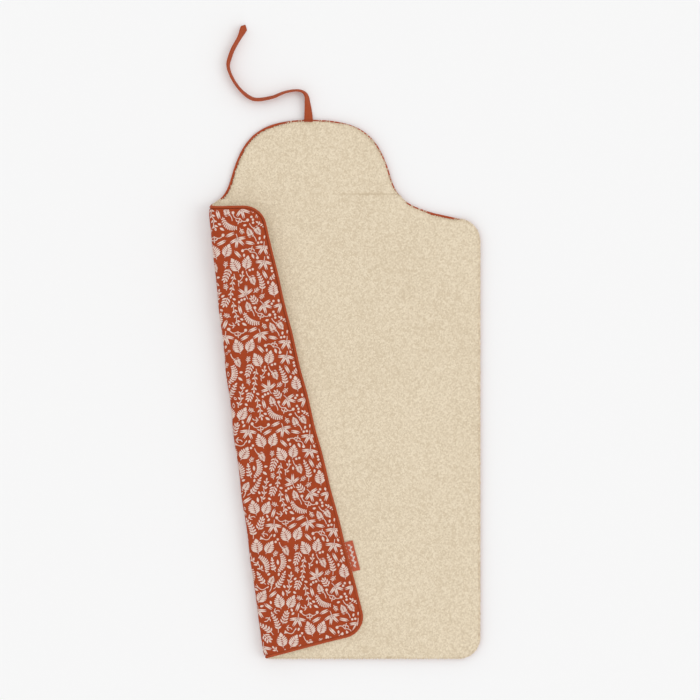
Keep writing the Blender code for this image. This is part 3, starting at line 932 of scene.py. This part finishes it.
def strip(start, end, half, curve=0.0, off=0.0):
    # centre line +- half width
    long = math.dist(start, end)
    count = max(1, math.ceil(long / printed["longest"]))
    made = []
    for i in range(count):
        t = (i + stations) / count
        centre, heading = along(start, end, curve, t)
        left = np.stack([-heading[:, 1], heading[:, 0]], axis=1)
        wide = np.interp(t, stations, half) if np.ndim(half) else np.full(len(t), half)
        reach = left * wide[:, None]
        centre = centre + left * off
        made.append(np.stack([centre + reach, centre - reach], axis=1))
    return made


def almond(start, end, width, curve=0.0, blunt=0.75):
    return strip(start, end, width / 2 * bulge**blunt, curve)


def bothSides(start, end, width, curve=0.0, blunt=0.75):
    made = []
    for side in (-1, 1):
        ends = (side * start[0], start[1]), (side * end[0], end[1])
        made += almond(*ends, width, side * curve, blunt)
    return made


def polar(length, degrees):
    # the end of a line that leans over to the right by an angle
    return turnBy(degrees)[:, 1] * length


def turnedBy(made, degrees, shift=(0.0, 0.0)):
    return [one @ turnBy(degrees) + shift for one in made]


def broadLeaf(long=17.5, wide=13.5):
    # slanting bands between a bare midrib and a rounded outline, on a short stalk
    made = strip((0, -long * 0.62), (0, -long * 0.46), 0.35)
    for side in (-1, 1):
        for i in range(6):
            t = 0.04 + 0.135 * i
            edge = wide / 2 * math.sin(math.pi * min(t + 0.20, 0.97) ** 0.85) ** 0.75
            half = long * 0.054 * np.array((0.55, 0.95, 1.0, 0.95, 0.45))
            made += strip((side * 0.28, (t - 0.5) * long), (side * edge, (t - 0.3) * long), half)
    return made + almond((0, 0.30 * long), (0, 0.56 * long), wide * 0.26)


def leafPair():
    return turnedBy(broadLeaf(), 24, (-8.5, 0)) + turnedBy(broadLeaf(18.5, 15.0), -14, (8.5, 0.5))


def slimLeaf(long, wide):
    # two halves with a bare line between them
    half = wide / 4 * bulge**0.7 - 0.06
    made = []
    for side in (-1, 1):
        made += strip((0, 0), (0, long), half, 0.0, side * wide / 4 * 0.98)
    return made + strip((0, -1.6), (0, 0.4), 0.28)


def fan():
    # slim leaves that hang from one point
    made = strip((0, 0.5), (0.4, 7.0), 0.46, 0.05)
    for degrees, long in ((-96, 10.5), (-148, 11.8), (158, 12.2), (108, 10.8)):
        made += turnedBy(slimLeaf(long, 4.2), -degrees, polar(0.8, degrees))
    return made


def barbed(long, curve, places, sizes, inner, outer, widths, blunt):
    # a bowed stem with a leaflet on each side at every place; inner and outer are the distance
    # from the stem and the angle to it at the leaflet's two ends
    made = strip((0, -long / 2), (0, long / 2), 0.42, curve)
    for t, size, width in zip(places, sizes, widths):
        at, heading = (found[0] for found in along((0, -long / 2), (0, long / 2), curve, t))
        base = math.degrees(math.atan2(*heading))
        for side in (-1, 1):
            foot = at + polar(inner[0], base + side * inner[1])
            made += almond(foot, at + polar(size, base + side * outer), width, 0.0, blunt)
    return made


def pinnate(long=26.5, pairs=6, curve=0.10, leaf=5.6):
    # the leaflets get smaller towards the tip, which has a leaf of its own
    i = np.arange(pairs)
    part = i / (pairs - 1)
    sizes, widths = leaf * (1 - 0.42 * part), 2.4 * (1 - 0.3 * i / pairs)
    made = barbed(long, curve, 0.20 + 0.72 * part, sizes, (0.5, 60), 52, widths, 0.75)
    return made + almond((0, long / 2), (0, long / 2 + 4.2), 2.4)


def fern(long=25.0, bars=10, curve=0.22):
    # short bars on both sides of a crescent
    t = 0.06 + 0.90 * np.arange(bars) / (bars - 1)
    sizes = 4.6 * np.sin(math.pi * (0.10 + 0.80 * t)) ** 0.6
    return barbed(long, curve, t, sizes, (0.6, 70), 62, np.full(bars, 1.8), 0.4)


def bud():
    # a veined oval on a long bowed stem, with leaves at its neck
    made = strip((0, 3.5), (3.5, 16.5), 0.50, -0.14) + turnedBy(broadLeaf(10.0, 8.2), 180)
    made += bothSides((0.6, 5.2), (4.6, 3.0), 1.6, 0.15)
    return made + bothSides((0.6, 7.8), (4.0, 6.0), 1.3, 0.15)


def curl():
    # two arms that bow apart to round buds, with small leaves at the fork
    made = strip((0, 7.0), (0.6, 1.0), 0.52) + bothSides((0, 6.6), (4.8, 3.4), 1.5, 0.2)
    for x, y, curve in ((-10.5, -4.0, -0.30), (11.5, 1.0, 0.30)):
        made += strip((0.6, 1.2), (x, y), 0.50, curve)
        made += almond((x, y - 2.0), (x, y + 2.2), 4.2, 0, 0.6)
    return made + almond((0, 6.8), (0, 10.2), 1.4)


def trumpet():
    made = strip((-6.0, 2.0), (3.0, -1.0), 0.50, -0.30)
    made += strip((3.0, -1.0), (7.8, 0.8), np.array((0.4, 0.8, 1.2, 1.8, 2.6)))
    return made + almond((-6.0, 2.0), (-8.4, 5.2), 1.8, 0.2)


def seeds(draw):
    made = []
    for i in range(7):
        row, column = divmod(i, 3)
        x = (column - 1) * 5.2 + (row % 2) * 2.2 + draw.uniform(-0.6, 0.6)
        y = (1 - row) * 6.6 + draw.uniform(-0.8, 0.8)
        one = almond((0, -3.0), (0, 3.2), draw.uniform(2.8, 3.6))
        made += turnedBy(one, draw.uniform(-34, 34), (x, y))
    return made


def berries(draw, count):
    made = []
    for i in range(count):
        at = np.array(((i - (count - 1) / 2) * 4.2, 0.9 * (i % 2)))
        made += turnedBy(almond((0, -1.7), (0, 1.7), 3.6, 0, 0.7), draw.uniform(0, 90), at)
    return made


def twig():
    made = strip((0, -3.4), (0.2, 3.6), 0.52, 0.05) + bothSides((0, 2.0), (4.0, -0.8), 1.4, 0.12)
    return made + almond((0, -2.6), (2.4, -5.0), 1.3, -0.1)


def sprout():
    made = strip((0, -4.0), (0, 3.8), 0.46)
    for y, reach in ((-1.6, 3.4), (0.8, 3.0), (3.0, 2.2)):
        made += bothSides((0, y), (reach, y + 2.2), 1.3)
    return made


def vine(long=30.0, bends=4, leaf=4.4):
    # a stem that waves from side to side, with a leaf at each side of every bend
    made = []
    for i in range(bends):
        low, high = (long * (k / bends - 0.5) for k in (i, i + 1))
        side = 1 if i % 2 else -1
        made += strip((0, low), (0, high), 0.48, side * 0.16)
        foot = np.array((side * 0.3, (low + high) / 2 - 0.4))
        made += almond(foot, foot + (side * leaf * 0.75, leaf * 0.65 + 0.4), 2.4, side * 0.12)
        foot = foot + (side * -1.8, 1.2)
        tip = foot + (side * (0.6 - leaf * 0.7), leaf * 0.8 - 0.8)
        made += almond(foot, tip, 2.0, side * -0.12)
    return made + almond((0, long / 2), (0, long / 2 + 4.2), 2.6)


def chevrons(long=16.5, pairs=4):
    # stout pairs of bars that point upwards on a short stem
    made = strip((0, -long / 2 - 1.5), (0, long / 2 - 2.0), 0.42)
    for i in range(pairs):
        y = long * ((i + 0.15) / pairs - 0.5)
        made += bothSides((0.6, y), (5.0 * (1 - 0.12 * i), y + 3.6), 2.1, -0.12, 0.45)
    return made + almond((0, long / 2 - 1.8), (0, long / 2 + 2.4), 2.4)


def printTile():
    # each motif goes to the first free place that is drawn for it, large ones first; the free
    # places are kept on a raster that joins up with itself at the tile's edges
    draw = np.random.default_rng(printed["seed"])
    side = printed["repeat"]
    cells = round(side / printed["cell"])
    taken = np.zeros((cells, cells), bool)
    reach = math.ceil(printed["margin"] / printed["cell"])
    shift = np.indices((2 * reach + 1,) * 2).reshape(2, -1).T - reach
    shift = shift[(shift**2).sum(1) <= reach**2 + 1]
    # motif, how many, and how far each may lean
    plan = [
        (leafPair, 5, 20), (fan, 7, 30), (vine, 4, 30), (pinnate, 4, 60), (fern, 4, 50),
        (bud, 7, 40), (curl, 7, 30), (chevrons, 6, 40), (lambda: seeds(draw), 8, 40),
        (broadLeaf, 4, 50), (lambda: vine(18.0, 2, 4.0), 7, 60),
        (lambda: pinnate(17.0, 4, -0.08, 4.8), 7, 60), (trumpet, 6, 90),
        (lambda: fern(16.0, 7, -0.2), 4, 90), (lambda: chevrons(11.0, 3), 9, 70),
        (lambda: slimLeaf(11.5, 4.6), 14, 90), (sprout, 16, 90), (twig, 18, 180),
        (lambda: berries(draw, 3), 16, 180), (lambda: berries(draw, 2), 20, 180),
        (lambda: almond((0, -3.4), (0, 3.6), 3.4), 16, 180),
        (lambda: almond((0, -2.3), (0, 2.3), 3.0, 0, 0.6), 30, 180),
    ]
    found = []
    for make, count, spread in plan:
        for _ in range(count):
            local = np.array(make()) / 1000
            between = (local[:, 1:] + local[:, :-1]) / 2
            cloud = [local, between, local.mean(2, keepdims=True)]
            cloud = np.concatenate([part.reshape(-1, 2) for part in cloud])
            for _ in range(70 if len(local) > 3 else 40):
                lean = draw.uniform(-spread, spread) + (180 if draw.random() < 0.4 else 0)
                turn, to = turnBy(lean), draw.uniform(0, side, 2)
                cell = np.floor((cloud @ turn + to) / printed["cell"]).astype(int) % cells
                if taken[tuple(cell.T)].any():
                    continue
                near = (np.unique(cell, axis=0)[:, None] + shift) % cells
                taken[tuple(near.reshape(-1, 2).T)] = True
                found.append(local @ turn + to)
                break
    return np.concatenate(found)


def cropped(strips):
    # strips that cross the seam keep their longest end inside it
    last = len(stations) - 1
    away, _ = nearEdge(strips.reshape(-1, 2))
    inside = (away > printed["seamGap"]).reshape(len(strips), len(stations), 2).all(2)
    strips, inside = strips[inside.sum(1) >= 2], inside[inside.sum(1) >= 2]
    first = inside.argmax(1)
    blocked = ~inside & (np.arange(len(stations)) > first[:, None])
    end = np.where(blocked.any(1), blocked.argmax(1) - 1, last)
    keep = end > first
    strips, first, end = strips[keep], first[keep], end[keep]
    at = first[:, None] + (end - first)[:, None] * np.linspace(0, 1, len(stations))
    low = np.minimum(np.floor(at).astype(int), last - 1)
    share = (at - low)[..., None, None]
    row = np.arange(len(strips))[:, None]
    return strips[row, low] * (1 - share) + strips[row, low + 1] * share


def printStrips():
    tile = printTile()
    i, j = np.meshgrid(np.arange(-2, 2), np.arange(-4, 3), indexing="ij")
    offset = np.stack([i.ravel(), j.ravel()], axis=1) * printed["repeat"] + printed["from"]
    strips = cropped((tile + offset[:, None, None, None]).reshape(-1, len(stations), 2, 2))
    # the left side is first on every strip
    heading = strips[:, -1].mean(1) - strips[:, 0].mean(1)
    across = strips[:, 2, 0] - strips[:, 2, 1]
    wrong = heading[:, 0] * across[:, 1] - heading[:, 1] * across[:, 0] < 0
    strips[wrong] = strips[wrong][:, :, ::-1]
    return strips


def keels(strips):
    # each strip is a shallow keel: a left, a right and a middle point at every station
    flat = np.concatenate([strips, strips.mean(2, keepdims=True)], axis=2).reshape(-1, 2)
    index = np.arange(len(stations) * 3).reshape(-1, 3)
    side = ringFaces(index)
    one = np.concatenate([side[:, (0, 1, 2)], side[:, (0, 2, 3)], [index[0], index[-1, ::-1]]])
    return flat, one + np.arange(len(strips))[:, None, None] * index.size


def inkPiece(part, strips):
    # the keels' two sides stand on the cloth and their middle lines are in it
    xy, faces = keels(strips)
    depth = np.tile((-1, -1, 1), len(xy) // 3) * printed["thickness"]
    points = np.column_stack([xy, backingUnder(*xy.T, *nearEdge(xy)) + depth])
    name, material = f"print_{part}_leaves", woven["cottonInk"]
    obj = makeMesh(name, layFolded(points), faces.reshape(-1, 3), material, xy, sharp=40)
    join(dress(obj), part)


allStrips = printStrips()
onTab = allStrips[..., 1].max((1, 2)) > tabCut
onPanel = ((allStrips.mean((1, 2)) - (foldX, 0)) @ acrossFold > cutAt) & ~onTab
for part, mask in {"main": ~onTab & ~onPanel, "panel": onPanel, "tab": onTab}.items():
    inkPiece(part, allStrips[mask])
print("leaves printed:", len(allStrips))


tie = {
    "width": 0.0120,
    "thickness": 0.0016,
    "onTab": 0.0045,
    "underside": 0.0063,
    "setsDown": 0.016,
    "tip": 0.0050,
    "hem": 0.0085,
    "step": 0.0012,
    "stitchGap": 0.0026,
    "stitch": (0.00095, 0.00024),  # half length and half width
    "grooveAt": 0.78,
    "tacks": 13,
    "tackGap": 0.00078,
    # mm: x, y beyond the tab's top, and degrees that the strap is turned up onto its edge
    "route": (
        (-3.4, 0.4, 0), (-3.6, 8.0, 26), (-4.8, 23.4, 54), (-6.6, 34.0, 66), (-12.4, 39.4, 70),
        (-22.8, 40.8, 71), (-38.2, 37.7, 68), (-53.6, 31.5, 64), (-74.2, 28.0, 62),
        (-86.5, 31.5, 64), (-99.8, 42.9, 72), (-110.2, 58.3, 75), (-115.8, 74.6, 75),
        (-112.7, 89.1, 73), (-108.1, 100.4, 74), (-100.0, 114.8, 72), (-93.8, 128.2, 46),
    ),
}


def columns(*parts):
    return np.column_stack(np.broadcast_arrays(*parts))


def smoothRoute():
    # a Catmull-Rom curve through the points, cut into even steps
    points = np.array(tie["route"]) * (0.001, 0.001, 1)
    ends = np.concatenate([2 * points[:1] - points[1:2], points, 2 * points[-1:] - points[-2:-1]])
    a, b, c, d = (ends[k:len(ends) - 3 + k, None] for k in range(4))
    t = np.linspace(0, 1, 24, endpoint=False)[:, None]
    cubic = (3 * b - a - 3 * c + d) * t**3
    fine = (2 * b + (c - a) * t + (2 * a - 5 * b + 4 * c - d) * t**2 + cubic) / 2
    fine = np.concatenate([fine.reshape(-1, 3), points[-1:]])
    gone = goneAlong(fine[:, :2])
    at = np.linspace(0, gone[-1], round(gone[-1] / tie["step"]) + 1)
    return readAt(fine, at, gone), at


def strapFrames():
    # centre, three axes and the distance gone at each station
    route, gone = smoothRoute()
    xy = route[:, :2] + (0, topY)
    lean = np.radians(route[:, 2])
    ahead = columns(*unit(np.gradient(xy, axis=0)).T, 0.0)
    wide = columns(-ahead[:, 1] * np.cos(lean), ahead[:, 0] * np.cos(lean), np.sin(lean))
    lying = tie["width"] / 2 * np.sin(lean) + tie["thickness"] / 2 * np.cos(lean) + 0.0003
    sewnUp = tie["underside"] + tie["thickness"] / 2
    down = smooth(0, tie["setsDown"], route[:, 1] - route[0, 1])
    centre = columns(*xy.T, sewnUp + (lying - sewnUp) * down)
    return centre, ahead, wide, np.cross(ahead, wide), gone


# half of the strap's section: a bead at the edge, a groove for the stitches, and a level face
strapOut = np.array((-1.0, -0.97, -0.88, -0.78, -0.68, -0.40, 0, 0.40, 0.68, 0.78, 0.88, 0.97, 1.0))
strapUp = np.array((0.30, 0.80, 1.0, 0.78, 1.0, 1.06, 1.08, 1.06, 1.0, 0.78, 1.0, 0.80, 0.30))


def strapCurl(gone, out):
    return 0.00028 * np.sin(gone * 41 + 1.1) * (1 - out**2)


def strapMesh(name, centre, ahead, wide, thick, gone, half, tip, hem):
    # a flat loop of points at each station; the last stations reach ahead by tip x (1 - |out|)
    out = np.concatenate([strapOut, strapOut[::-1]])
    up = np.concatenate([strapUp, -strapUp[::-1]]) * tie["thickness"] / 2
    left = (gone - gone[-1])[:, None]
    hemmed = 1 + 0.34 * smooth(-hem, 0.0005 - hem, left) - 0.75 * smooth(-0.0012, 0, left)
    lift = up * hemmed + strapCurl(gone[:, None], out)
    reach = smooth(-0.0060, 0, left) * tip * (1 - np.abs(out))
    rings = centre[:, None] + wide[:, None] * (out * half)[:, None]
    rings = rings + thick[:, None] * lift[..., None] + ahead[:, None] * reach[..., None]
    uv, faces = uvGrid(out * half, gone[:, None]), tubeFaces(len(gone), len(out))
    return makeMesh(name, rings.reshape(-1, 3), faces, woven["tieCloth"], uv, sharp=70)


def threadMesh(name, spots, axes, length, width):
    # stitches: small drops of thread along their first axis
    sizes = (np.full(len(spots), size) for size in (length, width))
    points, faces = beads(spots, *axes, *sizes)
    return makeMesh(name, points, faces, woven["sewingThread"], points[:, :2], sharp=0)


def stitchRows(centre, ahead, wide, thick, gone):
    # a run of stitches in both grooves, on both faces
    at = np.arange(tie["stitchGap"], gone[-1] - 0.0020, tie["stitchGap"])
    spot, *axes = (readAt(part, at, gone) for part in (centre, ahead, wide, thick))
    spots = []
    for out in (-tie["grooveAt"], tie["grooveAt"]):
        for face in (-1, 1):
            lift = face * tie["thickness"] / 2 * 0.80 + strapCurl(at, out)
            spots.append(spot + axes[1] * out * tie["width"] / 2 + axes[2] * lift[:, None])
    axes = [np.tile(axis, (4, 1)) for axis in axes]
    return threadMesh("tie_strap_stitches", np.concatenate(spots), axes, *tie["stitch"])


frames = strapFrames()
strap = strapMesh("tie_strap_cloth", *frames, tie["width"] / 2, tie["tip"], tie["hem"])
strapStitches = stitchRows(*frames)
dress(strap, ["tie_strap"], "tie")
dress(strapStitches, (), "tie")

# the strap's sewn end on the tab, and the zigzag bar of thread that holds it
rootY = np.linspace(-tie["onTab"] + 0.0012, 0.0003, 9)
rootCentre = columns(mat["tieX"], topY + rootY, tie["underside"] + 0.0008)
rootAxes = [np.tile(axis, (9, 1)) for axis in ((0.0, 1.0, 0.0), (-1.0, 0.0, 0.0), (0.0, 0.0, 1.0))]
rootHalf = tie["width"] / 2 + 0.0002
root = strapMesh("tie_root_cloth", rootCentre, *rootAxes, rootY - rootY[0], rootHalf, 0.0, 0.001)
dress(root, ["tie_root"], "tab")

tack = np.arange(tie["tacks"])
tackX = mat["tieX"] + (tack - (tie["tacks"] - 1) / 2) * tie["tackGap"]
tackAt = columns(tackX, topY - tie["onTab"] + 0.0024, tie["underside"] + 0.00175)
tackAhead = columns(0.42 * np.where(tack % 2, 1.0, -1.0), 0.907, 0.0)
tackSide = columns(tackAhead[:, 1], -tackAhead[:, 0], 0.0)
tackAxes = (tackAhead, tackSide, np.cross(tackSide, tackAhead))
tackPiece = threadMesh("tie_bartack_threads", tackAt, tackAxes, 0.00095, 0.00030)
dress(tackPiece, ["tie_bartack"], "tab")
print("tie laid")

label = {
    "length": 0.0425,
    "aboveBottom": 0.1080,
    "level": 0.0066,
    "reach": 0.0115,
    "inSeam": 0.0040,
    "layer": 0.00026,
    "gapAtSeam": 0.00030,
    "gapAtFold": 0.00068,
    "sprigAt": 6.2,  # mm from the seam
    "sprigLong": 33.0,
    "sprigBends": 9,
}
labelY = bottomY + label["aboveBottom"]


def halfGap(out):
    gaps = (label["gapAtSeam"], label["gapAtFold"])
    return np.interp(out, (-label["inSeam"], label["reach"]), gaps) / 2


def labelLevel(out, y):
    # the free label sways in two slow waves
    wave = 0.00022 * np.sin(y * 190) + 0.00010 * np.sin(y * 530 + 1)
    return label["level"] + smooth(0.0, 0.008, out) * wave


def hairpin(inner, outer, closed):
    # path across the label: out along one layer, round the fold, and back along the other
    x = np.linspace(inner, outer - (label["gapAtFold"] / 2 if closed else 0), 12)
    half = halfGap(x)
    turn = np.linspace(math.pi / 2, -math.pi / 2, 9)[1:-1]
    lines = [np.column_stack([x, half]), np.column_stack([x, -half])[::-1]]
    if closed:
        lines.insert(1, columns(x[-1] + half[-1] * np.cos(turn), half[-1] * np.sin(turn)))
    return np.concatenate(lines)


def labelSheet(name, inner, outer, closed):
    path = hairpin(inner, outer, closed)
    normal = outwardNormals(np.gradient(path, axis=0))
    y = (np.linspace(-0.5, 0.5, 36) * label["length"])[:, None]
    sides = []
    for side in (1, -1):
        out, up = (path + normal * side * label["layer"] / 2).T
        spots = np.broadcast_arrays(-mat["bodyLeft"] - out, labelY + y, up + labelLevel(out, y))
        sides.append(np.stack(spots, axis=2).reshape(-1, 3))
    uv = uvGrid(goneAlong(path), labelY + y)
    return shellPiece(name, *sides, (len(y), len(path)), uv, woven["labelWeave"])


def labelSprig():
    # a waving stem with leaves on alternate sides, woven in pale thread on both faces
    bends, x = label["sprigBends"], label["sprigAt"]
    at = np.linspace(-0.5, 0.5, bends + 1) * label["sprigLong"]
    made = []
    for i in range(bends):
        side = 1 if i % 2 else -1
        made += strip((x, at[i]), (x, at[i + 1]), 0.42, side * 0.10)
        foot = np.array((x + side * 0.5, (at[i] + at[i + 1]) / 2 - 0.4))
        made += almond(foot, foot + (side * 2.4, 3.0), 2.3, side * 0.1, 0.6)
    flat, one = keels(np.array(made) / 1000)
    level = labelLevel(*flat.T)
    proud = np.tile((0.00009, 0.00009, -0.00006), len(flat) // 3)
    points, faces = [], []
    for face in (-1, 1):
        height = level + face * (halfGap(flat[:, 0]) + label["layer"] / 2 + proud)
        points.append(np.column_stack([-mat["bodyLeft"] - flat[:, 0], labelY + flat[:, 1], height]))
        faces.append(one[..., ::face].reshape(-1, 3) + (face + 1) // 2 * len(flat))
    points, faces = np.concatenate(points), np.concatenate(faces)
    name, material = "side_label_sprig", woven["labelThread"]
    return makeMesh(name, layFolded(points), faces, material, points[:, :2], sharp=40)


labelRoot = labelSheet("label_root_cloth", -label["inSeam"], 0.0, False)
labelFree = labelSheet("side_label_cloth", 0.0002, label["reach"], True)
sprig = labelSprig()
dress(labelRoot, ["label_root"], "panel")
dress(labelFree, ["side_label"], "label")
dress(sprig, (), "label")
print("label laid")

studio = {
    "floorTone": 0.952,
    "skyStrength": 0.905,
    "keyStrength": 0.34,
    "keyAngle": 34.0,
    "keyFrom": (0.80, -0.12, 0.80),
    "cameraAt": (0.0546, 0.0546, 2.2),
    "lens": 80.7,
}

floorMaterial = bpy.data.materials.new("paleFloor")
floorMaterial.use_nodes = True
floorShader = floorMaterial.node_tree.nodes["Principled BSDF"].inputs
floorShader["Base Color"].default_value = (studio["floorTone"],) * 3 + (1,)
floorShader["Roughness"].default_value = 0.9
floorShader["Specular IOR Level"].default_value = 0.1
floorMesh = bpy.data.meshes.new("floor")
floorMesh.from_pydata([(-6, -6, 0), (6, -6, 0), (6, 6, 0), (-6, 6, 0)], [], [(0, 1, 2, 3)])
floorMesh.materials.append(floorMaterial)
addObject("floor", floorMesh)

world = bpy.data.worlds.new("studioAir")
world.use_nodes = True
air = world.node_tree.nodes["Background"].inputs
air["Color"].default_value = (1.0, 1.0, 1.0, 1)
air["Strength"].default_value = studio["skyStrength"]
scene.world = world

sun = bpy.data.lights.new("softKey", "SUN")
sun.energy = studio["keyStrength"]
sun.angle = math.radians(studio["keyAngle"])
key = addObject("softKey", sun)
key.rotation_euler = Vector(studio["keyFrom"]).to_track_quat("Z", "Y").to_euler()

lens = bpy.data.cameras.new("camera")
lens.lens = studio["lens"]
lens.sensor_width = 36
scene.camera = addObject("camera", lens)
scene.camera.location = studio["cameraAt"]
